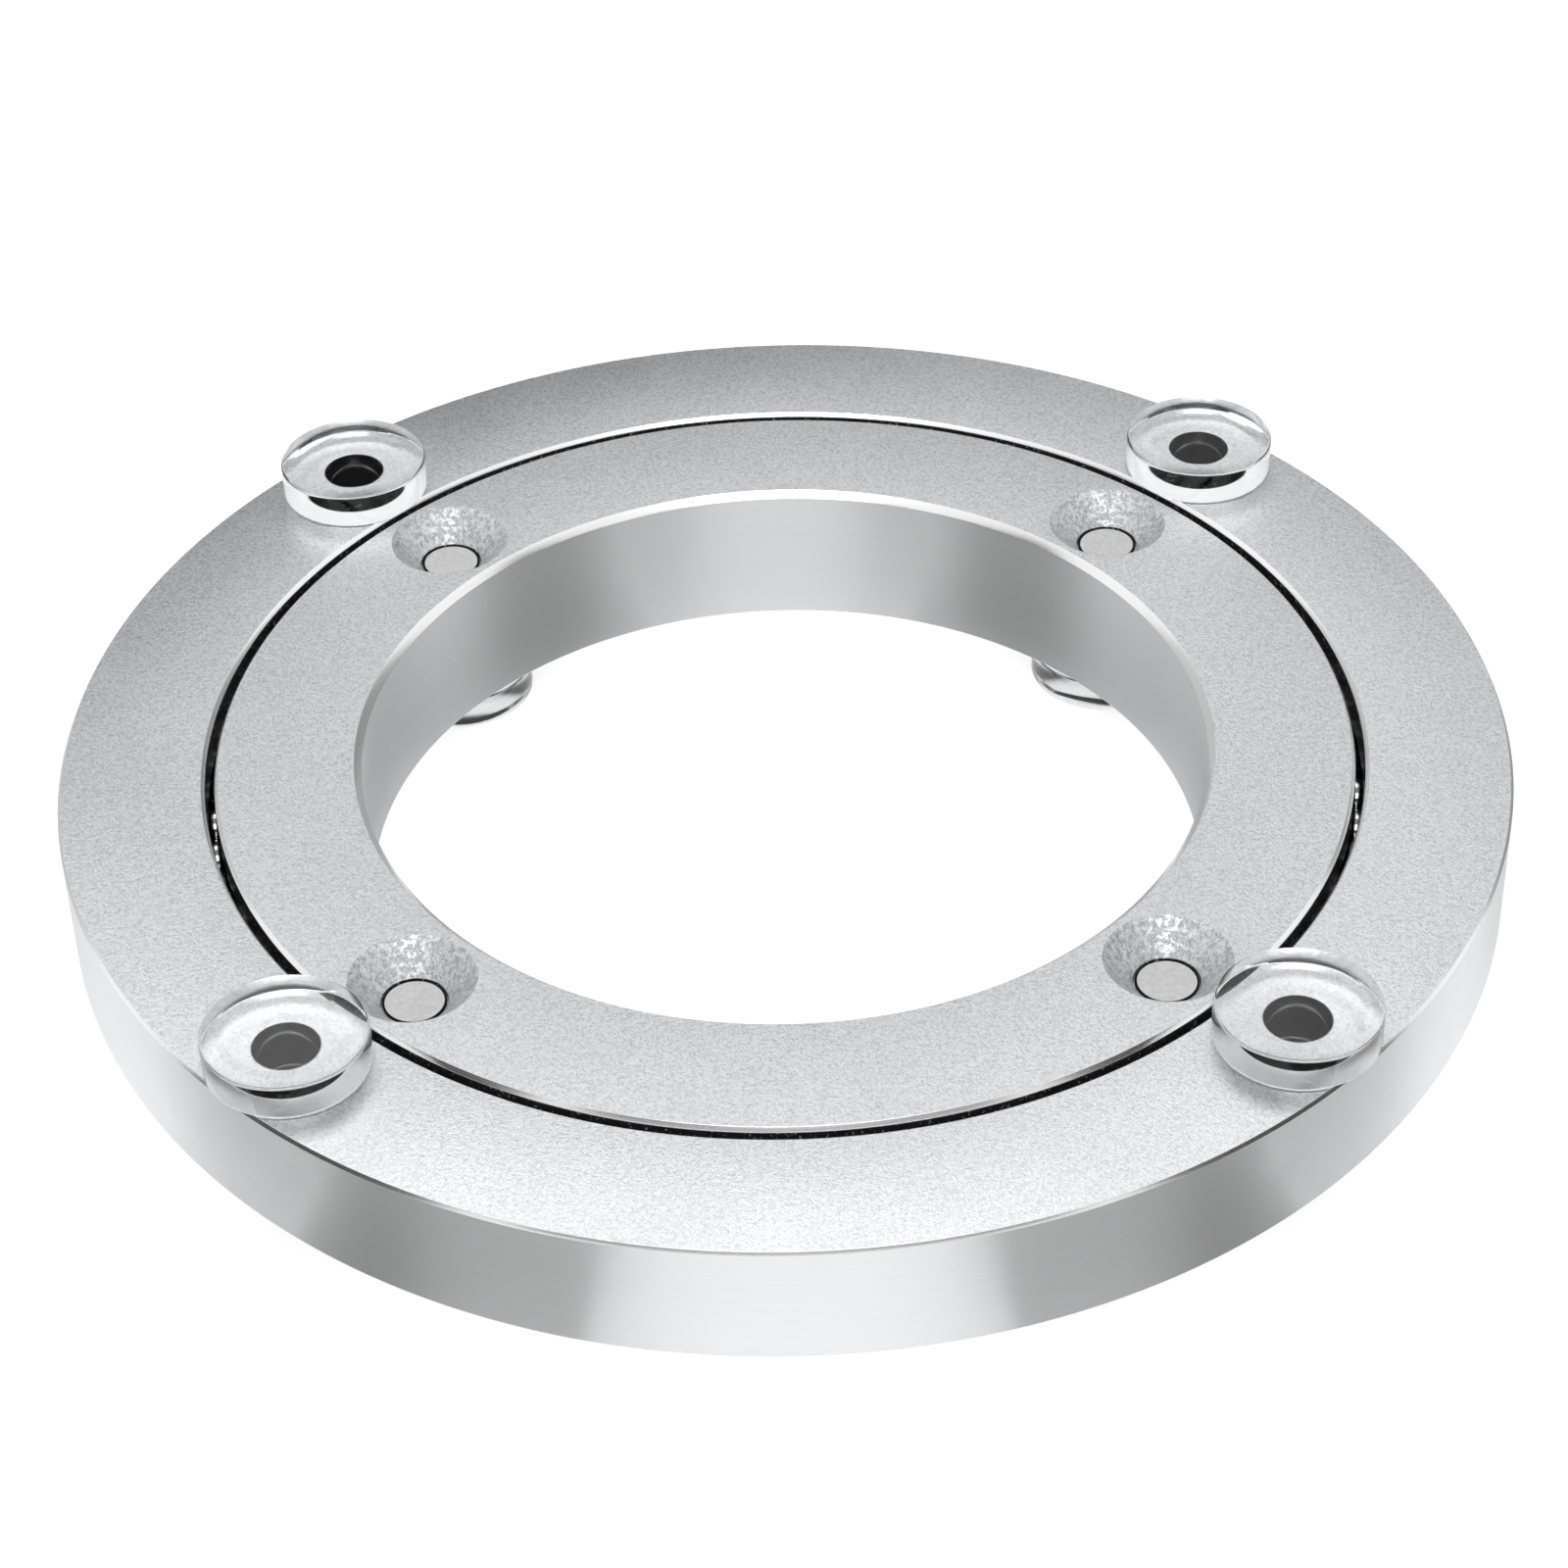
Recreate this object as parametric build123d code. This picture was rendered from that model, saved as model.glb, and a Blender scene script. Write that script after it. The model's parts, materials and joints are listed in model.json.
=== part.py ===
from build123d import *
import itertools
import math
import os

# Turntable bearing: two aluminium rings that turn on one row of steel balls, with clear plastic feet
# pushed into the screw holes of both rings. Millimetres, +Z up, the origin on the floor under the axis.

# Ring widths, from the bore outwards
bore_diameter = 58.5
inner_ring_width = 10.1
running_gap = 0.65
outer_ring_width = 10.0

# Ring heights: the tops are flush, so the taller inner ring reaches lower
inner_ring_height = 11.0
outer_ring_height = 9.0

# Broken edge round the top of the bore
bore_chamfer = 0.5

# Balls and their V-shaped races, which hold each ball at four points
ball_diameter = 3.175
ball_count = 72
race_play = 0.05

# Countersunk screw holes, the same in both rings
holes_per_ring = 4
first_hole_angle = 45
screw_hole_diameter = 4.4
countersink_diameter = 8.4
countersink_angle = 90

# The inner ring's holes stand this far outside the middle of its face, so that the feet clear the bore
inner_hole_outset = 0.2

# Feet: a round pad on a straight stem
pad_diameter = 10.8
pad_height = 2.5
pad_edge_break = 0.4
stem_play = 0.03

# Set screw that closes the ball-filling hole in the back of the outer ring
filler_hole_diameter = 4.0
filler_hole_angle = 90
plug_play = 0.03
plug_recess = 0.5
plug_setback = 0.1
plug_end_chamfer = 0.4
hex_socket_width = 2.0
hex_socket_depth = 1.8

# How far a cutting tool runs past the face that it opens on
overrun = 1.0

# Radii that follow from the widths
bore_radius = bore_diameter / 2
inner_land_radius = bore_radius + inner_ring_width
outer_land_radius = inner_land_radius + running_gap
outer_radius = outer_land_radius + outer_ring_width
inner_hole_circle_radius = (bore_radius + inner_land_radius) / 2 + inner_hole_outset
outer_hole_circle_radius = (outer_land_radius + outer_radius) / 2

# Levels that follow from the heights
inner_ring_bottom = pad_height
ring_top = inner_ring_bottom + inner_ring_height
outer_ring_bottom = ring_top - outer_ring_height
race_level = ring_top - outer_ring_height / 2

# Race sizes that follow from the ball
ball_radius = ball_diameter / 2
pitch_radius = (inner_land_radius + outer_land_radius) / 2
race_flank_distance = ball_radius + race_play
race_depth = race_flank_distance * math.sqrt(2)

# Screw hole sizes
screw_hole_radius = screw_hole_diameter / 2
countersink_radius = countersink_diameter / 2
countersink_slope = math.tan(math.radians(countersink_angle / 2))
countersink_depth = (countersink_radius - screw_hole_radius) / countersink_slope


def race_section():
    """A square that stands on its corner round the ball: its flanks are the two V-shaped races."""
    square = Rectangle(2 * race_flank_distance, 2 * race_flank_distance)
    return Pos(pitch_radius, race_level) * Rot(0, 0, 45) * square


def ring_section(inner_radius, outer_radius, bottom):
    """The plain section of a ring, from its own bottom up to the level that both tops share."""
    width = outer_radius - inner_radius
    height = ring_top - bottom
    return Pos(inner_radius + width / 2, bottom + height / 2) * Rectangle(width, height)


def turned(section):
    """A ring turned from its section, with its side of the ball race."""
    return revolve(Plane.XZ * (section - race_section()), Axis.Z)


def screw_hole_cutter(ring_height):
    """A plain hole under a countersink: the mouth at the origin, the hole going down."""
    length = ring_height + overrun
    plain_hole = Pos(0, 0, -length / 2) * Cylinder(screw_hole_radius, length)
    sink_height = countersink_depth + overrun
    mouth_radius = countersink_radius + overrun * countersink_slope
    sink = Cone(screw_hole_radius, mouth_radius, sink_height)
    return plain_hole + Pos(0, 0, overrun - sink_height / 2) * sink


def hole_places(radius):
    """The places of one ring's screw holes, all facing the same way."""
    return PolarLocations(radius, holes_per_ring, start_angle=first_hole_angle, rotate=False)


def inner_ring():
    """The ring that the base plate screws to: its countersinks open upwards."""
    section = ring_section(bore_radius, inner_land_radius, inner_ring_bottom)
    section = chamfer(section.vertices().group_by(Axis.X)[0].sort_by(Axis.Y)[-1], bore_chamfer)
    ring = turned(section)
    cutter = Pos(0, 0, ring_top) * screw_hole_cutter(inner_ring_height)
    for place in hole_places(inner_hole_circle_radius):
        ring -= place * cutter
    return ring


def outer_ring():
    """The ring that the turning plate screws to: its countersinks open downwards."""
    ring = turned(ring_section(outer_land_radius, outer_radius, outer_ring_bottom))
    cutter = Pos(0, 0, outer_ring_bottom) * Rot(180, 0, 0) * screw_hole_cutter(outer_ring_height)
    for place in hole_places(outer_hole_circle_radius):
        ring -= place * cutter
    return ring - filler_hole_cutter()


def along_filler_hole(start_radius):
    """A plane on the filler hole's axis, at a distance from the bearing's axis, looking outwards."""
    direction = Vector(1, 0, 0).rotate(Axis.Z, filler_hole_angle)
    origin = direction * start_radius + Vector(0, 0, race_level)
    return Plane(origin=origin, x_dir=(0, 0, 1), z_dir=direction)


def filler_hole_cutter():
    """The hole through the wall and into the race, wide enough to pass a ball."""
    length = outer_radius - pitch_radius + overrun
    hole = Cylinder(filler_hole_diameter / 2, length, align=(Align.CENTER, Align.CENTER, Align.MIN))
    return along_filler_hole(pitch_radius) * hole


def ball_filler_plug():
    """A set screw with a hexagon socket, its tip just behind the race."""
    start_radius = pitch_radius + race_depth + plug_setback
    length = outer_radius - plug_recess - start_radius
    on_its_end = (Align.CENTER, Align.CENTER, Align.MIN)
    plug = Cylinder(filler_hole_diameter / 2 - plug_play, length, align=on_its_end)
    plug = chamfer(plug.edges().filter_by(GeomType.CIRCLE).sort_by(Axis.Z)[-1], plug_end_chamfer)
    hexagon = RegularPolygon(hex_socket_width / 2, 6, major_radius=False)
    socket = Pos(0, 0, length - hex_socket_depth) * extrude(hexagon, hex_socket_depth)
    return along_filler_hole(start_radius) * (plug - socket)


def bearing_ball():
    """One ball, kept light with 32 flats whose 18 corners lie on the true ball.

    Corners stand where it meets the races, and where it faces the balls beside it.
    """
    flats = []
    for signs in itertools.product((-1, 1), repeat=3):
        x_end = Vector(signs[0], 0, 0) * ball_radius
        y_end = Vector(0, signs[1], 0) * ball_radius
        z_end = Vector(0, 0, signs[2]) * ball_radius
        xy_corner = (x_end + y_end) / math.sqrt(2)
        yz_corner = (y_end + z_end) / math.sqrt(2)
        zx_corner = (z_end + x_end) / math.sqrt(2)
        for corners in (
            (xy_corner, yz_corner, zx_corner),
            (x_end, xy_corner, zx_corner),
            (y_end, yz_corner, xy_corner),
            (z_end, zx_corner, yz_corner),
        ):
            flats.append(Face(Wire.make_polygon(corners, close=True)))
    return Solid(Shell(flats))


def bearing_balls():
    """The full row of balls between the races."""
    ball = bearing_ball()
    places = Pos(0, 0, race_level) * PolarLocations(pitch_radius, ball_count)
    return Compound(children=[place * ball for place in places])


def foot(ring_height):
    """A foot with its pad standing on the origin's plane and its stem hanging down to the countersink."""
    stem_length = ring_height - countersink_depth
    stem_radius = screw_hole_radius - stem_play
    pad_radius = pad_diameter / 2
    outline = Polyline(
        (0, -stem_length),
        (stem_radius, -stem_length),
        (stem_radius, 0),
        (pad_radius, 0),
        (pad_radius, pad_height - pad_edge_break),
        (pad_radius - pad_edge_break, pad_height),
        (0, pad_height),
        close=True,
    )
    return revolve(Plane.XZ * make_face(outline), Axis.Z)


def upper_foot(number):
    """A foot pushed into the outer ring from above, for the turning plate to rest on."""
    place = hole_places(outer_hole_circle_radius).locations[number]
    return place * Pos(0, 0, ring_top) * foot(outer_ring_height)


def lower_foot(number):
    """A foot pushed into the inner ring from below, for the bearing to stand on."""
    place = hole_places(inner_hole_circle_radius).locations[number]
    upside_down = Pos(0, 0, inner_ring_bottom) * Rot(180, 0, 0)
    return place * upside_down * foot(inner_ring_height)


os.makedirs("parts", exist_ok=True)
export_step(inner_ring(), "parts/inner_ring.step")
export_step(outer_ring(), "parts/outer_ring.step")
export_step(bearing_balls(), "parts/bearing_balls.step")
export_step(ball_filler_plug(), "parts/ball_filler_plug.step")
for number in range(holes_per_ring):
    export_step(upper_foot(number), f"parts/upper_foot_{number + 1}.step")
    export_step(lower_foot(number), f"parts/lower_foot_{number + 1}.step")
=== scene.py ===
# %% [markdown]
# Turntable bearing. Two aluminium rings turn on one row of steel balls, and clear plastic feet are pushed
# into the screw holes of both rings. This file dresses the measured parts: it makes all of them but the set
# screw again as smooth meshes in the same places, gives each the finish of the real metal or plastic, and
# sets up the studio.

import json
import math

import bmesh
import bpy
from mathutils import Matrix, Vector


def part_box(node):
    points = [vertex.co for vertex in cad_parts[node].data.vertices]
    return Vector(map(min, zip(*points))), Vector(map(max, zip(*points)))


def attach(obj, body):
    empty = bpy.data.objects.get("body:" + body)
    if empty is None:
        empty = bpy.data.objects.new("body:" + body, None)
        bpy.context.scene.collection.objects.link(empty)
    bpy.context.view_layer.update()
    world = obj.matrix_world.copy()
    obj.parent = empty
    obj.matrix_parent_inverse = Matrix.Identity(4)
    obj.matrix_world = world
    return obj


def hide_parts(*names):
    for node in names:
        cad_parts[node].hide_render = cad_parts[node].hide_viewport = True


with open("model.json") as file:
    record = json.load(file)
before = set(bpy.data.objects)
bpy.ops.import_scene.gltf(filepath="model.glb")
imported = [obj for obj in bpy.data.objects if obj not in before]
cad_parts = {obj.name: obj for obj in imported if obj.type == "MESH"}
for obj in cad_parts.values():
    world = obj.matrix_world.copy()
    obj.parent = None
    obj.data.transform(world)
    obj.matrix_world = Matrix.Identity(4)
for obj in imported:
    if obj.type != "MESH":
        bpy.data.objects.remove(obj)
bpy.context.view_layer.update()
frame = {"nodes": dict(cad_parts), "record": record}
nodes = frame["nodes"]
print("measured parts:", sorted(nodes))

# %% [markdown]
# Sizes. The main sizes are read from the measured parts, so none of them is fitted by eye: the corners of a
# turned ring lie on its bore and on its rim, and a box gives its heights. What a box can't tell, such as the
# number of balls, and what the parts leave out, such as small roundings, gets a value where it is needed.

# %% Read the sizes from the frame
MM = 0.001


def radii_of(node):
    """The smallest and the largest distance of a part's corners from the turning axis."""
    distances = [math.hypot(corner.co.x, corner.co.y) for corner in nodes[node].data.vertices]
    return min(distances), max(distances)


bore_radius, inner_land_radius = radii_of("inner_ring")
outer_land_radius, outer_radius = radii_of("outer_ring")
inner_ring_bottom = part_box("inner_ring")[0].z
outer_ring_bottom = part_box("outer_ring")[0].z
ring_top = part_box("outer_ring")[1].z
inner_ring_height = ring_top - inner_ring_bottom
outer_ring_height = ring_top - outer_ring_bottom
ball_low, ball_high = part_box("bearing_balls")
ball_radius = (ball_high.z - ball_low.z) / 2
race_level = (ball_high.z + ball_low.z) / 2
pitch_radius = (inner_land_radius + outer_land_radius) / 2
ball_count = 72
for label, size in (("bore", bore_radius), ("rim", outer_radius), ("ball", ball_radius), ("top", ring_top)):
    print(f"{label}: {size / MM:.3f} mm")

# %% [markdown]
# Screw holes. The record states the hole's radius, and the feet stand in the holes, so the boxes of a ring's
# feet give one list of places, which serves its drilling as well. The countersinks open at 90 degrees, so
# their depth is the difference of their radius and the hole's.

# %% Places of the screw holes
mounts = {mount["name"]: mount for mount in frame["record"]["mounts"]}
hole_radius = mounts["inner_screw_holes"]["dims"]["hole_r_mm"] * MM
countersink_radius = 4.2 * MM
countersink_depth = countersink_radius - hole_radius
holes_per_ring = 4


def hole_places(foot_name):
    """The middle of each screw hole of one ring, read from the feet that stand in them."""
    places = []
    for number in range(1, holes_per_ring + 1):
        low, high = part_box(f"{foot_name}_{number}")
        places.append(((low.x + high.x) / 2, (low.y + high.y) / 2))
    return places


upper_places = hole_places("upper_foot")
lower_places = hole_places("lower_foot")
print("upper feet at", [(round(x / MM, 2), round(y / MM, 2)) for x, y in upper_places])

# %% [markdown]
# Turning. A lathe makes a ring by turning it against one tool, and the mesh is made in a like way: a section
# is drawn once and carried round in many steps. A screw modifier could do it too, but plain loops keep every
# corner in reach for the trimmed edge on the feet.

# %% A lathe for sections
ON_THE_AXIS = 1e-9
RING_STEPS = 288
SMALL_STEPS = 96


def lathe(section, steps):
    """Turn a closed section of (radius, height) points about Z. A point on the axis is one vertex."""
    shape = bmesh.new()
    loops = []
    for radius, height in section:
        if radius < ON_THE_AXIS:
            loops.append([shape.verts.new((0, 0, height))])
            continue
        angles = [2 * math.pi * step / steps for step in range(steps)]
        circle = [(radius * math.cos(angle), radius * math.sin(angle), height) for angle in angles]
        loops.append([shape.verts.new(point) for point in circle])
    for lower, upper in zip(loops, loops[1:] + loops[:1]):
        for step in range(steps):
            after = (step + 1) % steps
            corners = [lower[step % len(lower)], lower[after % len(lower)]]
            corners += [upper[after % len(upper)], upper[step % len(upper)]]
            corners = list(dict.fromkeys(corners))
            if len(corners) > 2:
                shape.faces.new(corners)
    return shape


# %% [markdown]
# Edges. No machined edge is perfectly sharp: each has a tiny round that catches a line of light. A corner
# of a section is given with its rounding, and a short arc takes its place before the section is turned.

# %% Round the corners of a section
ARC_STEPS = 5


def rounded(corners):
    """Replace each (radius, height, rounding) corner by an arc that meets both its sides smoothly."""
    points = []
    for index, (radius, height, rounding) in enumerate(corners):
        here = Vector((radius, height))
        if not rounding:
            points.append((radius, height))
            continue
        before = (Vector(corners[index - 1][:2]) - here).normalized()
        after = (Vector(corners[(index + 1) % len(corners)][:2]) - here).normalized()
        half_angle = before.angle(after) / 2
        centre = here + (before + after).normalized() * (rounding / math.sin(half_angle))
        reach = rounding / math.tan(half_angle)
        start = here + before * reach - centre
        end = here + after * reach - centre
        first = math.atan2(start.y, start.x)
        sweep = (math.atan2(end.y, end.x) - first + math.pi) % (2 * math.pi) - math.pi
        for step in range(ARC_STEPS + 1):
            angle = first + sweep * step / ARC_STEPS
            points.append((centre.x + rounding * math.cos(angle), centre.y + rounding * math.sin(angle)))
    return points


# %% [markdown]
# From shape to piece. Faces are shaded smooth, and an edge stays crisp only where its two faces meet at a
# clear angle. That gives true round walls beside true flat faces, without a modifier.

# %% Finish a mesh as a piece
CRISP_ANGLE = math.radians(24)


def add_piece(name, shape):
    """Put a shape into the scene as an object, smooth but with crisp edges."""
    bmesh.ops.recalc_face_normals(shape, faces=shape.faces)
    for face in shape.faces:
        face.smooth = True
    for edge in shape.edges:
        edge.smooth = edge.calc_face_angle(0.0) < CRISP_ANGLE
    mesh = bpy.data.meshes.new(name)
    shape.to_mesh(mesh)
    shape.free()
    piece = bpy.data.objects.new(name, mesh)
    bpy.context.scene.collection.objects.link(piece)
    print(f"{name}: {len(mesh.vertices)} corners, {len(mesh.polygons)} faces")
    return piece


def repeated(shape, places, onto=None):
    """One shape that holds a copy of the given one at each place, beside what it may hold already."""
    single = bpy.data.meshes.new("single")
    shape.to_mesh(single)
    shape.free()
    many = bmesh.new() if onto is None else onto
    for place in places:
        start = len(many.verts)
        many.from_mesh(single)
        many.verts.ensure_lookup_table()
        bmesh.ops.transform(many, matrix=place, verts=many.verts[start:])
    bpy.data.meshes.remove(single)
    return many


# %% [markdown]
# Drilling. The holes are cut from the turned ring as they are in the workshop, with a cutter of the hole's
# own form: here a mesh that a Boolean takes away. The exact solver keeps the flat faces flat. The cut mesh
# is baked at once, corners that lie together are welded, and the cutter is thrown away, so the finished
# piece carries no modifier.

# %% Cut holes with a cutter
weld_distance = 0.0005 * MM


def drilled(name, blank, cutter):
    """The blank with the cutter's shape taken away, as one finished piece."""
    ring = add_piece(name + "_blank", blank)
    tool = add_piece(name + "_cutter", cutter)
    cut = ring.modifiers.new("holes", "BOOLEAN")
    cut.operation = "DIFFERENCE"
    cut.solver = "EXACT"
    cut.object = tool
    evaluated = ring.evaluated_get(bpy.context.evaluated_depsgraph_get())
    baked = bpy.data.meshes.new_from_object(evaluated)
    shape = bmesh.new()
    shape.from_mesh(baked)
    bmesh.ops.remove_doubles(shape, verts=shape.verts, dist=weld_distance)
    for leftover in (ring, tool):
        bpy.data.objects.remove(leftover)
    bpy.data.meshes.remove(baked)
    return add_piece(name, shape)


# %% [markdown]
# The drill itself. Each screw hole is a plain hole that opens into a 90 degree countersink, whose edge is
# broken a little where it meets the ring's face. One cutter is made with its mouth at the origin and
# repeated at the four places: mouths up for the inner ring, mouths down for the outer one.

# %% Cutters for the screw holes
mouth_break = 0.08 * MM
mouth_lift = 0.1 * mouth_break
overrun = 1.0 * MM


def screw_hole_cutter(ring_height):
    """A countersunk hole with its mouth at the origin, going down."""
    section = [
        (0, -ring_height - overrun),
        (hole_radius, -ring_height - overrun),
        (hole_radius, -countersink_depth),
        (countersink_radius - mouth_break, -mouth_break),
        (countersink_radius + mouth_break, mouth_lift),
        (countersink_radius + overrun, overrun),
        (0, overrun),
    ]
    return lathe(section, SMALL_STEPS)


def placed(places, height, upside_down=False):
    """One matrix for each place, at a height, facing up or down."""
    turn = Matrix.Rotation(math.pi if upside_down else 0, 4, "X")
    return [Matrix.Translation((x, y, height)) @ turn for x, y in places]


# %% [markdown]
# The rings' sections. Their tops are flush, and the inner ring is a little taller, so it carries the outer
# one clear of the floor. Each land holds half of the V-shaped race. Broken edges run round both tops: a wide
# one at the bore, and narrow ones at the rim and at the running gap, where they show as two bright lines.

# %% Sections of both rings
bore_chamfer = 0.5 * MM
rim_chamfer = 0.2 * MM
land_chamfer = 0.25 * MM
edge_round = 0.06 * MM
hidden_edge_round = 0.2 * MM
race_play = 0.05 * MM
race_depth = (ball_radius + race_play) * math.sqrt(2)


def race_corners(land_radius, side):
    """The V in a land, from its lower lip over its floor to its upper lip.

    side is 1 for the outer ring's land and -1 for the inner ring's.
    """
    floor_radius = pitch_radius + side * race_depth
    half_height = abs(floor_radius - land_radius)
    return [
        (land_radius, race_level - half_height, edge_round),
        (floor_radius, race_level, edge_round),
        (land_radius, race_level + half_height, edge_round),
    ]


def inner_ring_section():
    """From the lower bore edge out along the bottom, up the land, and back over the top."""
    return rounded([
        (bore_radius, inner_ring_bottom, hidden_edge_round),
        (inner_land_radius, inner_ring_bottom, hidden_edge_round),
        *race_corners(inner_land_radius, -1),
        (inner_land_radius, ring_top - land_chamfer, edge_round),
        (inner_land_radius - land_chamfer, ring_top, edge_round),
        (bore_radius + bore_chamfer, ring_top, edge_round),
        (bore_radius, ring_top - bore_chamfer, edge_round),
    ])


def outer_ring_section():
    """From the lower land edge out along the bottom, up the rim, over the top and down the land."""
    return rounded([
        (outer_land_radius, outer_ring_bottom, hidden_edge_round),
        (outer_radius, outer_ring_bottom, hidden_edge_round),
        (outer_radius, ring_top - rim_chamfer, edge_round),
        (outer_radius - rim_chamfer, ring_top, edge_round),
        (outer_land_radius + land_chamfer, ring_top, edge_round),
        (outer_land_radius, ring_top - land_chamfer, edge_round),
        *reversed(race_corners(outer_land_radius, 1)),
    ])


# %% [markdown]
# The inner ring: turned, then drilled from above. It is screwed to whatever the bearing stands on, so its
# countersinks face up and the lower feet fill its holes from below.

# %% Make the inner ring
inner_cutter = repeated(screw_hole_cutter(inner_ring_height), placed(lower_places, ring_top))
inner_ring = drilled("inner_ring_turned", lathe(inner_ring_section(), RING_STEPS), inner_cutter)
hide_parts("inner_ring")
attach(inner_ring, "base")

# %% [markdown]
# The outer ring: drilled from below, because the turning plate is screwed on from underneath. One more hole
# goes through its back wall into the race: the balls are filled in there, and a set screw closes it.

# %% Make the outer ring
plug_low, plug_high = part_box("ball_filler_plug")
plug_play = 0.03 * MM
filler_hole_radius = (plug_high.x - plug_low.x) / 2 + plug_play
filler_mouth_flare = 0.25 * MM


def filler_hole_cutter():
    """A plain hole along +Y with a slightly flared mouth at the rim."""
    section = [
        (0, pitch_radius),
        (filler_hole_radius, pitch_radius),
        (filler_hole_radius, outer_radius - filler_mouth_flare),
        (filler_hole_radius + filler_mouth_flare + overrun, outer_radius + overrun),
        (0, outer_radius + overrun),
    ]
    return lathe(section, SMALL_STEPS)


outer_drill_places = placed(upper_places, outer_ring_bottom, upside_down=True)
outer_cutter = repeated(screw_hole_cutter(outer_ring_height), outer_drill_places)
filler_place = Matrix.Translation((0, 0, race_level)) @ Matrix.Rotation(-math.pi / 2, 4, "X")
outer_cutter = repeated(filler_hole_cutter(), [filler_place], onto=outer_cutter)
outer_ring = drilled("outer_ring_turned", lathe(outer_ring_section(), RING_STEPS), outer_cutter)
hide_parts("outer_ring")
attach(outer_ring, "turntable")

# %% [markdown]
# The balls. The measured balls are coarse, to keep the part light. Here each is a finely divided sphere of
# the same size at the same place, all 72 in one piece, because they show as a row of glints in the gap. Each
# is rolled on from the last one, so that the facets of no two balls lie alike.

# %% Make the row of balls
BALL_DIVISIONS = 4
ROLLS_IN_THE_ROW = 7
ball = bmesh.new()
bmesh.ops.create_icosphere(ball, subdivisions=BALL_DIVISIONS, radius=ball_radius)
ball_places = []
for index in range(ball_count):
    angle = 2 * math.pi * index / ball_count
    spot = Vector((pitch_radius * math.cos(angle), pitch_radius * math.sin(angle), race_level))
    ball_places.append(Matrix.Translation(spot) @ Matrix.Rotation(ROLLS_IN_THE_ROW * angle, 4, "X"))
balls = add_piece("bearing_balls_polished", repeated(ball, ball_places))
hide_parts("bearing_balls")
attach(balls, "ball_row")

# %% [markdown]
# The feet. Each is moulded in one piece: a round pad with a rounded rim and a shallow dish, on a stem that
# plugs the screw hole. The mould's gate was trimmed off at one side of the dish, which left a straight edge
# there. A Boolean could cut it, but sliding the dish's corners back to a straight line keeps the mesh clean.

# %% Shape of one foot
low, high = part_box("upper_foot_1")
pad_radius = (high.x - low.x) / 2
pad_height = high.z - ring_top
seat_gap = 0.02 * MM
stem_play = 0.04 * MM
stem_radius = hole_radius - stem_play
stem_tip_round = 0.25 * MM
root_fillet = 0.15 * MM
pad_low_round = 0.15 * MM
pad_rim_round = 0.22 * MM
dish_radius = pad_radius - 1.0 * MM
dish_slope = 0.6 * MM
dish_depth = 0.07 * MM
dish_round = 1.0 * MM
dish_edge_reach = dish_radius + 0.2 * MM
gate_chord = dish_radius - 0.7 * MM


def foot_shape(ring_height, gate_angle):
    """A foot with its pad on the origin's plane, its stem hanging down and its dish facing up."""
    stem_length = ring_height - countersink_depth
    shape = lathe(rounded([
        (0, -stem_length, 0),
        (stem_radius, -stem_length, stem_tip_round),
        (stem_radius, seat_gap, root_fillet),
        (pad_radius, seat_gap, pad_low_round),
        (pad_radius, pad_height, pad_rim_round),
        (dish_radius, pad_height, dish_round),
        (dish_radius - dish_slope, pad_height - dish_depth, dish_round),
        (0, pad_height - dish_depth, 0),
    ]), SMALL_STEPS)
    for corner in shape.verts:
        distance = math.hypot(corner.co.x, corner.co.y)
        on_top = corner.co.z > pad_height - 2 * dish_depth
        if on_top and distance < dish_edge_reach:
            corner.co.x = min(corner.co.x, gate_chord + distance - dish_radius)
    bmesh.ops.rotate(shape, matrix=Matrix.Rotation(math.radians(gate_angle), 3, "Z"), verts=shape.verts)
    return shape


# %% [markdown]
# Eight feet. They were pushed in by hand, so the trimmed gate of each faces its own way. The upper four turn
# with the outer ring, and the lower four stand still under the inner ring, upside down.

# %% Make the feet
upper_gate_angles = (30, 29, 28, 138)
lower_gate_angles = (110, 200, 320, 75)
feet = []


def make_foot(name, place, ring_height, gate_angle, body):
    """One foot at its place, standing for the measured one of the same name."""
    shape = foot_shape(ring_height, gate_angle)
    bmesh.ops.transform(shape, matrix=place, verts=shape.verts)
    foot = add_piece(name + "_moulded", shape)
    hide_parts(name)
    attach(foot, body)
    feet.append(foot)


upper_matrices = placed(upper_places, ring_top)
lower_matrices = placed(lower_places, inner_ring_bottom, upside_down=True)
for index in range(holes_per_ring):
    upper_name = f"upper_foot_{index + 1}"
    lower_name = f"lower_foot_{index + 1}"
    make_foot(upper_name, upper_matrices[index], outer_ring_height, upper_gate_angles[index], "turntable")
    make_foot(lower_name, lower_matrices[index], inner_ring_height, lower_gate_angles[index], "base")

# %% [markdown]
# Shader sums. A finish is worked out from masks and noises, and sums read best as sums. This class holds one
# socket of a shader, and each operator adds the Math node that it stands for, also when the number comes
# first, as in 1 - mask.

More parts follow.
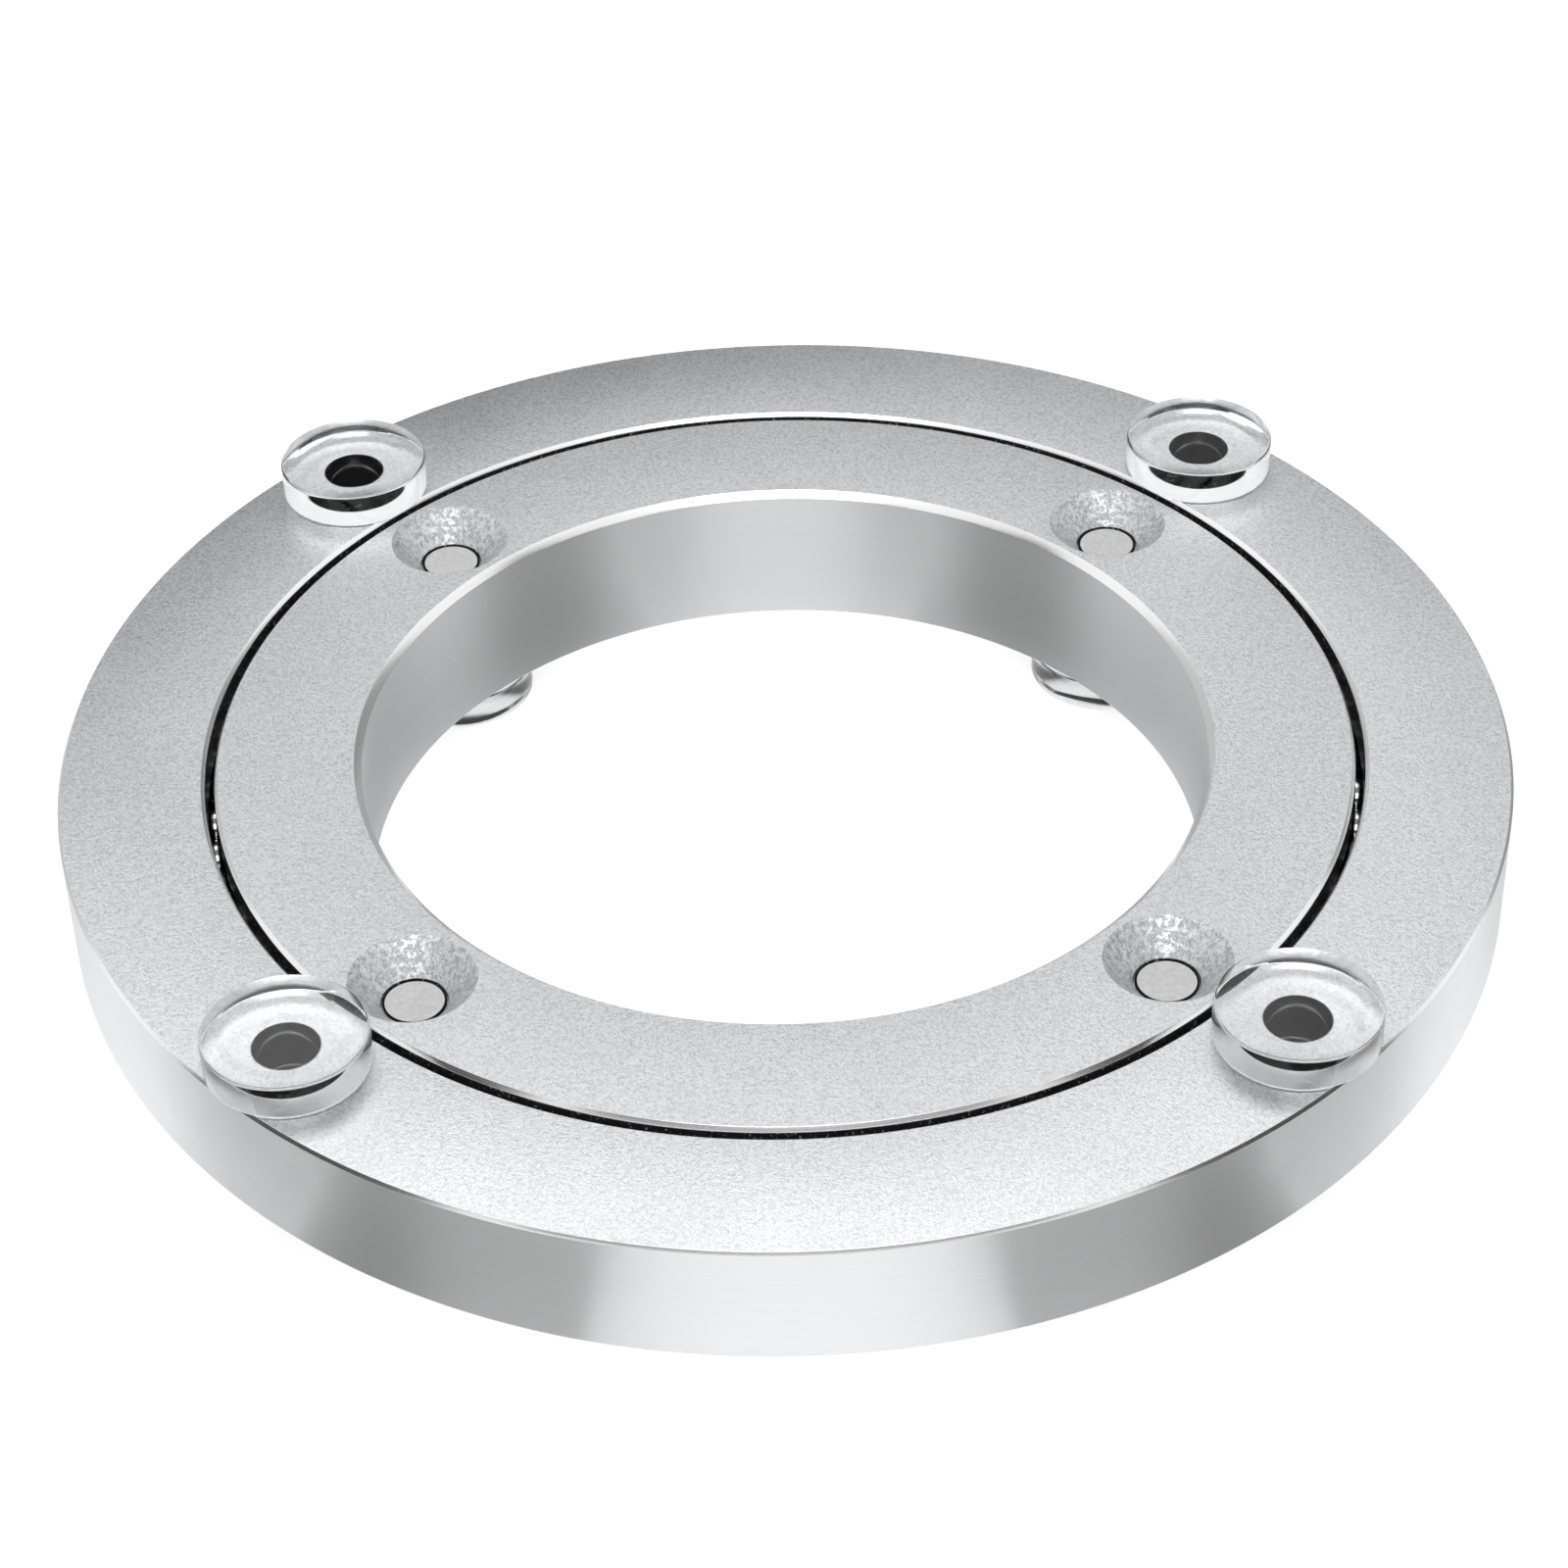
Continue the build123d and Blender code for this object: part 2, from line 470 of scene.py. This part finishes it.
# %% A socket that can be used in sums
class Wire:
    """One output of a shader node."""

    def __init__(self, finish, socket):
        self.finish = finish
        self.socket = socket

    def sum_node(self, operation, first, second):
        """One Math node on two values."""
        return self.finish.add("ShaderNodeMath", {"operation": operation}, {0: first, 1: second})

    def __add__(self, other):
        return self.sum_node("ADD", self, other)

    __radd__ = __add__

    def __sub__(self, other):
        return self.sum_node("SUBTRACT", self, other)

    def __rsub__(self, other):
        return self.sum_node("SUBTRACT", other, self)

    def __mul__(self, other):
        return self.sum_node("MULTIPLY", self, other)

    __rmul__ = __mul__

    def __lt__(self, other):
        return self.sum_node("LESS_THAN", self, other)

    def __gt__(self, other):
        return self.sum_node("GREATER_THAN", self, other)

    def __abs__(self):
        return self.sum_node("ABSOLUTE", self, 0)

    def larger(self, other):
        """The larger of two values."""
        return self.sum_node("MAXIMUM", self, other)


# %% [markdown]
# One method adds every other node: it sets the node's own settings first, because some of them change which
# sockets it has, and then fills or links its sockets. The small helpers after it name what is used often.

# %% A finish and its nodes
class Finish:
    """A material while it is being built."""

    def __init__(self, name, tree_owner=None):
        self.owner = tree_owner or bpy.data.materials.new(name)
        self.owner.use_nodes = True
        self.tree = self.owner.node_tree
        self.tree.nodes.clear()

    def add(self, kind, settings=None, inputs=None, output=0):
        """Add a node of a kind with its settings and sockets, and return one of its outputs."""
        node = self.tree.nodes.new(kind)
        for name, value in (settings or {}).items():
            if name == "stops":
                self.set_stops(node.color_ramp, value)
            else:
                setattr(node, name, value)
        for name, value in (inputs or {}).items():
            if isinstance(value, Wire):
                self.tree.links.new(value.socket, node.inputs[name])
            else:
                node.inputs[name].default_value = value
        return Wire(self, node.outputs[output]) if node.outputs else None

    def set_stops(self, ramp, stops):
        """Give a ramp its stops: each is a place and a grey value."""
        while len(ramp.elements) < len(stops):
            ramp.elements.new(1.0)
        for element, (place, grey) in zip(ramp.elements, stops):
            element.position = place
            element.color = (grey, grey, grey, 1)

    def coordinates(self, kind="Object"):
        """Texture coordinates of the piece, in metres."""
        return self.add("ShaderNodeTexCoord", output=kind)

    def noise(self, vector, scale, detail=2.0, roughness=0.5):
        """A noise from 0 to 1 with so many cells to the metre."""
        values = {"Vector": vector, "Scale": scale, "Detail": detail, "Roughness": roughness}
        return self.add("ShaderNodeTexNoise", {"noise_dimensions": "3D"}, values)

    def ramp(self, factor, *stops):
        """A grey ramp between stops."""
        return self.add("ShaderNodeValToRGB", {"stops": stops}, {"Fac": factor})

    def vector_sum(self, operation, first, second=(0, 0, 0), output=0):
        """One Vector Math node."""
        return self.add("ShaderNodeVectorMath", {"operation": operation}, {0: first, 1: second}, output)

    def radius(self, place):
        """How far a place is from the Z axis."""
        return self.vector_sum("LENGTH", self.vector_sum("MULTIPLY", place, (1, 1, 0)), output="Value")

    def height(self, place):
        """The Z of a place or direction."""
        return self.add("ShaderNodeSeparateXYZ", None, {0: place}, output="Z")

    def colour_mix(self, amount, first, second):
        """A colour between two colours."""
        return self.add("ShaderNodeMix", {"data_type": "RGBA"}, {0: amount, 6: first, 7: second}, output=2)

    def bump(self, height, distance, strength=1.0):
        """A normal tilted by a height in metres."""
        values = {"Height": height, "Distance": distance, "Strength": strength}
        return self.add("ShaderNodeBump", None, values)

    def surface(self, **inputs):
        """A Principled shader: its sockets are named with _ in place of spaces."""
        named = {name.replace("_", " "): value for name, value in inputs.items()}
        return self.add("ShaderNodeBsdfPrincipled", None, named)

    def shader_mix(self, amount, first, second):
        """A shader between two shaders."""
        return self.add("ShaderNodeMixShader", None, {0: amount, 1: first, 2: second})

    def show(self, shader):
        """Send the shader to the surface."""
        self.add("ShaderNodeOutputMaterial", None, {"Surface": shader})
        return self.owner


# %% [markdown]
# Where on a ring. One finish covers a whole ring, and the direction of a face says how it was made. Faces
# that look up or down were blasted, walls keep the fine lines of the lathe, and the sloping broken edges
# were cut last and stay bright. The countersinks slope as well, so the distance from the nearest hole tells
# them apart. The coordinates belong to the piece, so all this turns with it.

# %% Masks for a ring
FLAT_FROM = 0.86
FLAT_FULL = 0.96
SLOPE_FROM = 0.35
SLOPE_FULL = 0.55
race_margin = 0.1 * MM
lip_margin = 0.3 * MM


def facing_up(finish):
    """How much a face looks up or down, from 0 on a wall to 1 on the top."""
    return abs(finish.height(finish.coordinates("Normal")))


def near_a_hole(finish, places, reach):
    """1 within reach of a screw hole's axis. The holes lie alike in all four quarters, so one test does."""
    offset = abs(places[0][0])
    folded = finish.vector_sum("ABSOLUTE", finish.coordinates())
    shifted = finish.vector_sum("SUBTRACT", folded, (offset, offset, 0))
    return finish.radius(shifted) < reach


def in_the_race(finish):
    """1 on the lands and in the V-shaped races, the running gap that gets painted shade."""
    place = finish.coordinates()
    off_pitch = abs(finish.radius(place) - pitch_radius)
    height = finish.height(place)
    beside = off_pitch < race_depth + race_margin
    return beside * (height > outer_ring_bottom + lip_margin) * (height < ring_top - lip_margin)


# %% [markdown]
# Aluminium. Blasting leaves a fine even grain that scatters light, so those faces are rough with a bump of
# two sizes of grain and small specks of light and dark. A turned wall has grooves that run round the ring:
# they stretch each reflection upright, which the Anisotropic socket does, and a noise squeezed in height
# draws the lines themselves. The broken edges are the same metal, only smoother.

# %% Finish of the rings
aluminium_colour = (0.86, 0.865, 0.875, 1)
aluminium_dark_colour = (0.58, 0.585, 0.60, 1)
pit_colour = (0.22, 0.22, 0.225, 1)
groove_colour = (0.82, 0.825, 0.835, 1)
ridge_colour = (0.90, 0.905, 0.91, 1)
bright_edge_colour = (0.93, 0.93, 0.935, 1)
# Painted shade: near black for the running gap between the rings and the screw holes round the stems.
painted_deep_shade_colour = (0.01, 0.01, 0.012, 1)
painted_soft_shade_colour = (0.07, 0.07, 0.075, 1)
painted_glint_colour = (0.60, 0.60, 0.61, 1)
pit_darkness = 0.45
pit_depth = 0.5
wall_roughness = 0.50
wall_squeeze = (12, 12, 9000)
edge_squeeze = (30, 30, 12000)
groove_depth = 0.001 * MM
mouth_margin = 0.2 * MM
stem_margin = 0.02 * MM


def either_way(noise, amount):
    """A noise from 0 to 1 as a change of so much in all, as far down as up."""
    return (noise - 0.5) * amount


def lathe_lines(finish, squeeze, detail, roughness):
    """Fine lines that run round the ring: a noise squeezed in height."""
    squeezed = finish.vector_sum("MULTIPLY", finish.coordinates(), squeeze)
    return finish.noise(squeezed, 1.0, detail, roughness)


def blasted_metal(finish, grain_height, base_roughness, in_countersink):
    """The grained finish of the tops, and of the countersinks with pits where the cutter chattered."""
    place = finish.coordinates()
    fine = finish.noise(place, scale=9000, detail=2.0, roughness=0.6)
    coarse = finish.noise(place, scale=3200, detail=3.0, roughness=0.6)
    cloud = finish.noise(place, scale=90, detail=1.0, roughness=0.6)
    chatter = finish.noise(place, scale=2600, detail=4.0, roughness=0.7)
    grain = fine * 0.6 + coarse * 0.4
    specks = finish.ramp(grain, (0.36, 0.0), (0.56, 1.0))
    pits = finish.ramp(chatter, (0.40, 1.0), (0.54, 0.0)) * in_countersink
    tint = finish.colour_mix(specks, aluminium_dark_colour, aluminium_colour)
    colour = finish.colour_mix(pits * pit_darkness, tint, pit_colour)
    roughness = base_roughness + either_way(grain, 0.20) + either_way(cloud, 0.12)
    normal = finish.bump(grain - pits * pit_depth, grain_height)
    return finish.surface(Base_Color=colour, Metallic=1.0, Roughness=roughness, Normal=normal)


def turned_metal(finish):
    """The finely lined finish of the walls."""
    lines = lathe_lines(finish, wall_squeeze, detail=3.0, roughness=0.7)
    scuffs = finish.noise(finish.coordinates(), scale=400, detail=2.0, roughness=0.65)
    colour = finish.colour_mix(lines, groove_colour, ridge_colour)
    roughness = wall_roughness + either_way(lines, 0.06) + either_way(scuffs, 0.06)
    normal = finish.bump(lines, groove_depth)
    return finish.surface(
        Base_Color=colour,
        Metallic=1.0,
        Roughness=roughness,
        Anisotropic=1.0,
        Anisotropic_Rotation=0.25,
        Normal=normal,
    )


def bright_metal(finish):
    """The smooth finish of the broken edges."""
    lines = lathe_lines(finish, edge_squeeze, detail=2.0, roughness=0.5)
    roughness = 0.16 + lines * 0.10
    return finish.surface(Base_Color=bright_edge_colour, Metallic=1.0, Roughness=roughness)


def painted_shade_metal(finish):
    """Painted shade, near black in patches, in the races and the screw holes, with a few painted glints."""
    place = finish.coordinates()
    film = finish.noise(place, scale=1800, detail=3.0, roughness=0.6)
    spots = finish.noise(place, scale=4200, detail=2.0, roughness=0.5)
    # Painted glints: a few bright flecks on the painted shade.
    painted_glints = finish.ramp(spots, (0.63, 0.0), (0.68, 1.0))
    shade_tint = finish.colour_mix(film, painted_deep_shade_colour, painted_soft_shade_colour)
    colour = finish.colour_mix(painted_glints, shade_tint, painted_glint_colour)
    roughness = 0.30 + film * 0.25
    return finish.surface(Base_Color=colour, Metallic=0.5, Roughness=roughness)


def ring_finish(name, places, grain_height, base_roughness):
    """The whole finish of one ring."""
    finish = Finish(name)
    up = facing_up(finish)
    sloping = finish.ramp(up, (SLOPE_FROM, 0.0), (SLOPE_FULL, 1.0))
    flat = finish.ramp(up, (FLAT_FROM, 0.0), (FLAT_FULL, 1.0))
    in_hole = near_a_hole(finish, places, countersink_radius + mouth_margin)
    grained = flat.larger(in_hole * sloping)
    walls = finish.shader_mix(sloping, turned_metal(finish), bright_metal(finish))
    blasted = blasted_metal(finish, grain_height, base_roughness, in_hole * (1 - flat))
    clean = finish.shader_mix(grained, walls, blasted)
    # Painted shade: the lands, the races and the holes round the stems are painted near black.
    round_the_stem = near_a_hole(finish, places, hole_radius + stem_margin)
    painted_shade_mask = in_the_race(finish) * (1 - in_hole) + round_the_stem
    return finish.show(finish.shader_mix(painted_shade_mask, clean, painted_shade_metal(finish)))


def dress(piece, material):
    """Give a piece its one material."""
    piece.data.materials.clear()
    piece.data.materials.append(material)


inner_grain_height = 0.060 * MM
outer_grain_height = 0.035 * MM
inner_roughness = 0.39
outer_roughness = 0.33
dress(inner_ring, ring_finish("inner_ring_aluminium", lower_places, inner_grain_height, inner_roughness))
dress(outer_ring, ring_finish("outer_ring_aluminium", upper_places, outer_grain_height, outer_roughness))
print("rings finished")

# %% [markdown]
# Steel. The balls are hardened, ground and lapped: nearly a mirror, with faint lapping marks. The set screw
# is blackened, with the black rubbed thin in patches. Its measured shape is plain enough to stay as it is, so
# only its slots get the finish.

# %% Finish of the balls and of the set screw
oiled_steel_colour = (0.60, 0.605, 0.61, 1)
lapped_steel_colour = (0.74, 0.74, 0.745, 1)
black_oxide_colour = (0.035, 0.035, 0.04, 1)
worn_oxide_colour = (0.22, 0.21, 0.20, 1)
oxide_grain_height = 0.006 * MM


def ball_finish():
    """Lapped steel with a trace of oil."""
    finish = Finish("lapped_steel")
    place = finish.coordinates()
    marks = finish.noise(place, scale=5000, detail=3.0, roughness=0.7)
    film = finish.noise(place, scale=500, detail=2.0, roughness=0.5)
    colour = finish.colour_mix(film, oiled_steel_colour, lapped_steel_colour)
    roughness = 0.05 + marks * 0.05
    return finish.show(finish.surface(Base_Color=colour, Metallic=1.0, Roughness=roughness))


def blackened_finish():
    """Black oxide on steel, worn thin in patches."""
    finish = Finish("blackened_steel")
    place = finish.coordinates()
    grain = finish.noise(place, scale=6000, detail=3.0, roughness=0.6)
    rubbed = finish.noise(place, scale=1500, detail=4.0, roughness=0.7)
    wear = finish.ramp(rubbed, (0.58, 0.0), (0.75, 1.0))
    colour = finish.colour_mix(wear, black_oxide_colour, worn_oxide_colour)
    roughness = 0.42 - wear * 0.12 + either_way(grain, 0.15)
    normal = finish.bump(grain, oxide_grain_height)
    return finish.show(finish.surface(Base_Color=colour, Metallic=0.9, Roughness=roughness, Normal=normal))


dress(balls, ball_finish())
blackened_steel = blackened_finish()
for slot in nodes["ball_filler_plug"].material_slots:
    slot.material = blackened_steel
print("steel finished")

# %% [markdown]
# Clear plastic. The feet bend the light, so the dark screw hole shows through each pad, shifted and doubled
# at the rim. That needs real transmission and a plastic's index of 1.49, both constant. Only tint, roughness
# and bump change a little: moulded plastic is almost clear, with faint flow marks and fine scratches from
# handling. The end of each stem was cut off, and the cut is frosted. Those of the lower feet show as pale
# discs in their countersinks, with a ring of painted shade in the gap round the stem. Those of the upper
# feet lie in the dark under the ring, so their ends are painted near black as painted shade, and their
# holes look black through the pads.

# %% Finish of the feet
dark_ring_width = 0.25 * MM
end_margin = 1 * MM
flow_mark_depth = 0.004 * MM
grey_tint = (0.90, 0.91, 0.92, 1)
clear_tint = (0.97, 0.975, 0.98, 1)
unshaded_end_colours = ((0.50, 0.50, 0.505, 1), (0.80, 0.80, 0.805, 1))
# Painted shade: near black on the upper stem ends and in a ring round each lower stem end.
painted_shade_end_colours = ((0.002, 0.002, 0.002, 1), (0.012, 0.012, 0.012, 1))


def clear_finish():
    """Clear moulded plastic with a faint grey tint, and frosted stem ends that carry painted shade."""
    finish = Finish("clear_moulded_plastic")
    place = finish.coordinates()
    flow = finish.noise(place, scale=350, detail=3.0, roughness=0.6)
    handling = finish.noise(place, scale=4000, detail=4.0, roughness=0.7)
    scratches = finish.ramp(handling, (0.60, 0.0), (0.72, 1.0))
    tint = finish.colour_mix(flow, grey_tint, clear_tint)
    roughness = 0.07 + flow * 0.05 + scratches * 0.04
    normal = finish.bump(flow, flow_mark_depth)
    clear = finish.surface(
        Base_Color=tint,
        Roughness=roughness,
        Transmission_Weight=1.0,
        IOR=1.49,
        Normal=normal,
    )
    height = finish.height(place)
    # Outside each lower stem's pale disc, the cut end gets painted shade.
    unshaded_end = near_a_hole(finish, lower_places, hole_radius - dark_ring_width)
    frost = finish.noise(place, scale=2500, detail=3.0, roughness=0.6)
    pale = finish.colour_mix(frost, *unshaded_end_colours)
    dark = finish.colour_mix(frost, *painted_shade_end_colours)
    cut_tint = finish.colour_mix(unshaded_end, dark, pale)
    frosted = finish.surface(Base_Color=cut_tint, Roughness=0.8, Specular_IOR_Level=0.1)
    flat = finish.ramp(facing_up(finish), (0.3, 0.0), (0.6, 1.0))
    cut_end = flat * (height > outer_ring_bottom + end_margin) * (height < ring_top - end_margin)
    return finish.show(finish.shader_mix(cut_end, clear, frosted))


plastic = clear_finish()
for foot in feet:
    dress(foot, plastic)
print("feet finished:", len(feet))

# %% [markdown]
# Floor. The bearing stands on a white sweep without an edge. The floor is a pale matt surface that takes a
# soft shadow. A little glow lifts it to the paper white of the picture. The glow is seen straight, mirrored
# or through clear plastic, and adds no light to matt surfaces. From below the floor is clear, so that the
# underside can be looked at. Far from the bearing, where no shadow falls, it only gives off the light that
# the near floor sends back. That looks the same and renders faster.

# %% Make the floor
FLOOR_SIZE = 8.0
FLOOR_DROP = 0.01 * MM
WHITE = (1, 1, 1, 1)
floor_colour = (0.60, 0.60, 0.60, 1)
floor_glow = 0.68
far_floor_radius = 0.15
far_floor_light = 0.50
far_floor_white = 1.15


def glow_shader(finish, brightness):
    """A surface that gives off plain white light."""
    return finish.add("ShaderNodeEmission", None, {"Color": WHITE, "Strength": brightness})


def floor_finish():
    """Pale matt floor that looks paper white from above and is clear from below."""
    finish = Finish("white_floor")
    white = white_rays(finish)
    matt = finish.add("ShaderNodeBsdfDiffuse", None, {"Color": floor_colour})
    paper = finish.add("ShaderNodeAddShader", None, {0: matt, 1: glow_shader(finish, white * floor_glow)})
    plain = glow_shader(finish, far_floor_light + white * (far_floor_white - far_floor_light))
    far = finish.radius(finish.coordinates()) > far_floor_radius
    clear = finish.add("ShaderNodeBsdfTransparent")
    from_below = finish.add("ShaderNodeNewGeometry", output="Backfacing")
    return finish.show(finish.shader_mix(from_below, finish.shader_mix(far, paper, plain), clear))


def white_rays(finish):
    """1 for the rays that should meet plain white: from the camera, mirrored, or through clear plastic."""
    camera = finish.add("ShaderNodeLightPath", output="Is Camera Ray")
    glossy = finish.add("ShaderNodeLightPath", output="Is Glossy Ray")
    through = finish.add("ShaderNodeLightPath", output="Is Transmission Ray")
    return camera.larger(glossy).larger(through)


def met_by_chance(material):
    """Don't aim rays at a glowing material as if it were a lamp: it is large, so they meet it anyway."""
    material.cycles.emission_sampling = "NONE"
    return material


floor_shape = bmesh.new()
bmesh.ops.create_grid(floor_shape, x_segments=1, y_segments=1, size=FLOOR_SIZE / 2)
floor = add_piece("floor", floor_shape)
floor.location.z = -FLOOR_DROP
dress(floor, met_by_chance(floor_finish()))

# %% [markdown]
# Cards. Bare metal shows only what stands round it, and in an all-white room it would look flat. So dark and
# grey cards stand round the bearing, as a product photographer places them: one on each side of the camera,
# one round the lens, two behind, one overhead, and mats that lie on the floor and in the bore. Only mirrored
# light sees them: they put the dark bands into the walls and shade the far side of the tops.

# %% Stand the cards
CAMERA_AZIMUTH = -90
CARD_STEP = 4
mat_height = 0.3 * MM


def add_card(name, azimuths, profile, grey):
    """A card bent round the bearing: its (distance, height) profile swept between two azimuths.

    Azimuths are in degrees from the camera's side, positive to the right.
    """
    shape = bmesh.new()
    first, last = azimuths
    steps = math.ceil((last - first) / CARD_STEP)
    rows = []
    for step in range(steps + 1):
        angle = math.radians(first + (last - first) * step / steps + CAMERA_AZIMUTH)
        across = math.cos(angle)
        along = math.sin(angle)
        rows.append([shape.verts.new((away * across, away * along, height)) for away, height in profile])
    for row, after in zip(rows, rows[1:]):
        for index in range(len(profile) - 1):
            shape.faces.new((row[index], after[index], after[index + 1], row[index + 1]))
    card = add_piece(name, shape)
    finish = Finish(name + "_paint")
    dress(card, met_by_chance(finish.show(glow_shader(finish, grey))))
    card.visible_camera = False
    card.visible_diffuse = False
    card.visible_transmission = False
    card.visible_shadow = False


side_profile = ((0.30, 0.0), (0.30, 0.30))
side_mat_profile = ((0.052, mat_height), (0.29, mat_height))
bore_mat_profile = ((1 * MM, mat_height), (27 * MM, mat_height))
lens_profile = ((0.30, 0.22), (0.30, 0.38))
back_profile = ((0.45, 0.08), (0.45, 0.42))
back_right_profile = ((0.45, 0.20), (0.45, 0.44))
low_profile = ((0.10, mat_height), (0.44, mat_height), (0.44, 0.20))
ceiling_profile = ((1 * MM, 0.90), (0.40, 0.90))
# Each row: name, first and last azimuth, profile, grey
CARDS = (
    ("left_card", (-87, -50), side_profile, 0.05),
    ("right_card", (50, 87), side_profile, 0.05),
    ("left_mat", (-43, -17), side_mat_profile, 0.19),
    ("right_mat", (17, 43), side_mat_profile, 0.19),
    ("bore_mat_near", (-124, 124), bore_mat_profile, 0.50),
    ("bore_mat_left", (-162, -124), bore_mat_profile, 0.08),
    ("bore_mat_right", (124, 162), bore_mat_profile, 0.08),
    ("bore_mat_far", (162, 198), bore_mat_profile, 0.80),
    ("lens_card", (-40, 40), lens_profile, 0.05),
    ("back_card", (176, 212), back_profile, 0.06),
    ("back_right_card", (138, 176), back_right_profile, 0.55),
    ("low_left_card", (205, 250), low_profile, 0.55),
    ("low_right_card", (110, 176), low_profile, 0.28),
    ("ceiling_card", (-180, 180), ceiling_profile, 0.35),
)
for card_name, azimuths, profile, grey in CARDS:
    add_card(card_name, azimuths, profile, grey)

# %% [markdown]
# Light. The room itself is white and gives most of the light. A soft lamp high above the camera brightens
# the middle of both walls, and one high behind the bearing brightens the near side of the tops and gives
# the floor its faint shadow.

# %% Light the scene
world = bpy.data.worlds.new("white_room")
bpy.context.scene.world = world
room = Finish("white_room", world)
room_light = 0.62
strength = room_light + white_rays(room) * (1 - room_light)
background = room.add("ShaderNodeBackground", None, {"Color": WHITE, "Strength": strength})
room.add("ShaderNodeOutputWorld", None, {"Surface": background})


def add_lamp(name, place, size, brightness):
    """A square soft lamp that looks at the bearing. Its brightness is that of its face, where 1 is white."""
    lamp = bpy.data.lights.new(name, "AREA")
    lamp.size = size
    lamp.energy = brightness * math.pi * size * size
    holder = bpy.data.objects.new(name, lamp)
    bpy.context.scene.collection.objects.link(holder)
    holder.location = place
    holder.rotation_euler = (-Vector(place)).to_track_quat("-Z", "Y").to_euler()


front_lamp_place = (0.0, -0.36, 0.68)
front_lamp_size = 0.44
front_brightness = 2.7
back_lamp_place = (-0.05, 0.42, 0.62)
back_lamp_size = 0.40
back_brightness = 0.9
add_lamp("front_lamp", front_lamp_place, front_lamp_size, front_brightness)
add_lamp("back_lamp", back_lamp_place, back_lamp_size, back_brightness)

# %% [markdown]
# Camera. It looks down on the bearing from the front at about 39 degrees, with a long lens, and leans a
# little to one side as the camera of the photograph did. Lens, place and lean were worked out from the
# ellipses of the rings in the picture.

# %% Set the camera
lens_in_mm = 90.8
sensor_width_in_mm = 36.0
nearest_seen = 0.01
camera_place = (-0.08 * MM, -215.5 * MM, ring_top + 169.4 * MM)
camera_tilt = math.radians(51.11)
camera_lean = math.radians(-1.55)
camera_data = bpy.data.cameras.new("camera")
camera_data.lens = lens_in_mm
camera_data.sensor_width = sensor_width_in_mm
camera_data.clip_start = nearest_seen
camera = bpy.data.objects.new("camera", camera_data)
bpy.context.scene.collection.objects.link(camera)
camera_turn = Matrix.Rotation(camera_tilt, 4, "X") @ Matrix.Rotation(camera_lean, 4, "Z")
camera.matrix_world = Matrix.Translation(camera_place) @ camera_turn
bpy.context.scene.camera = camera
bpy.context.scene.view_settings.view_transform = "Standard"
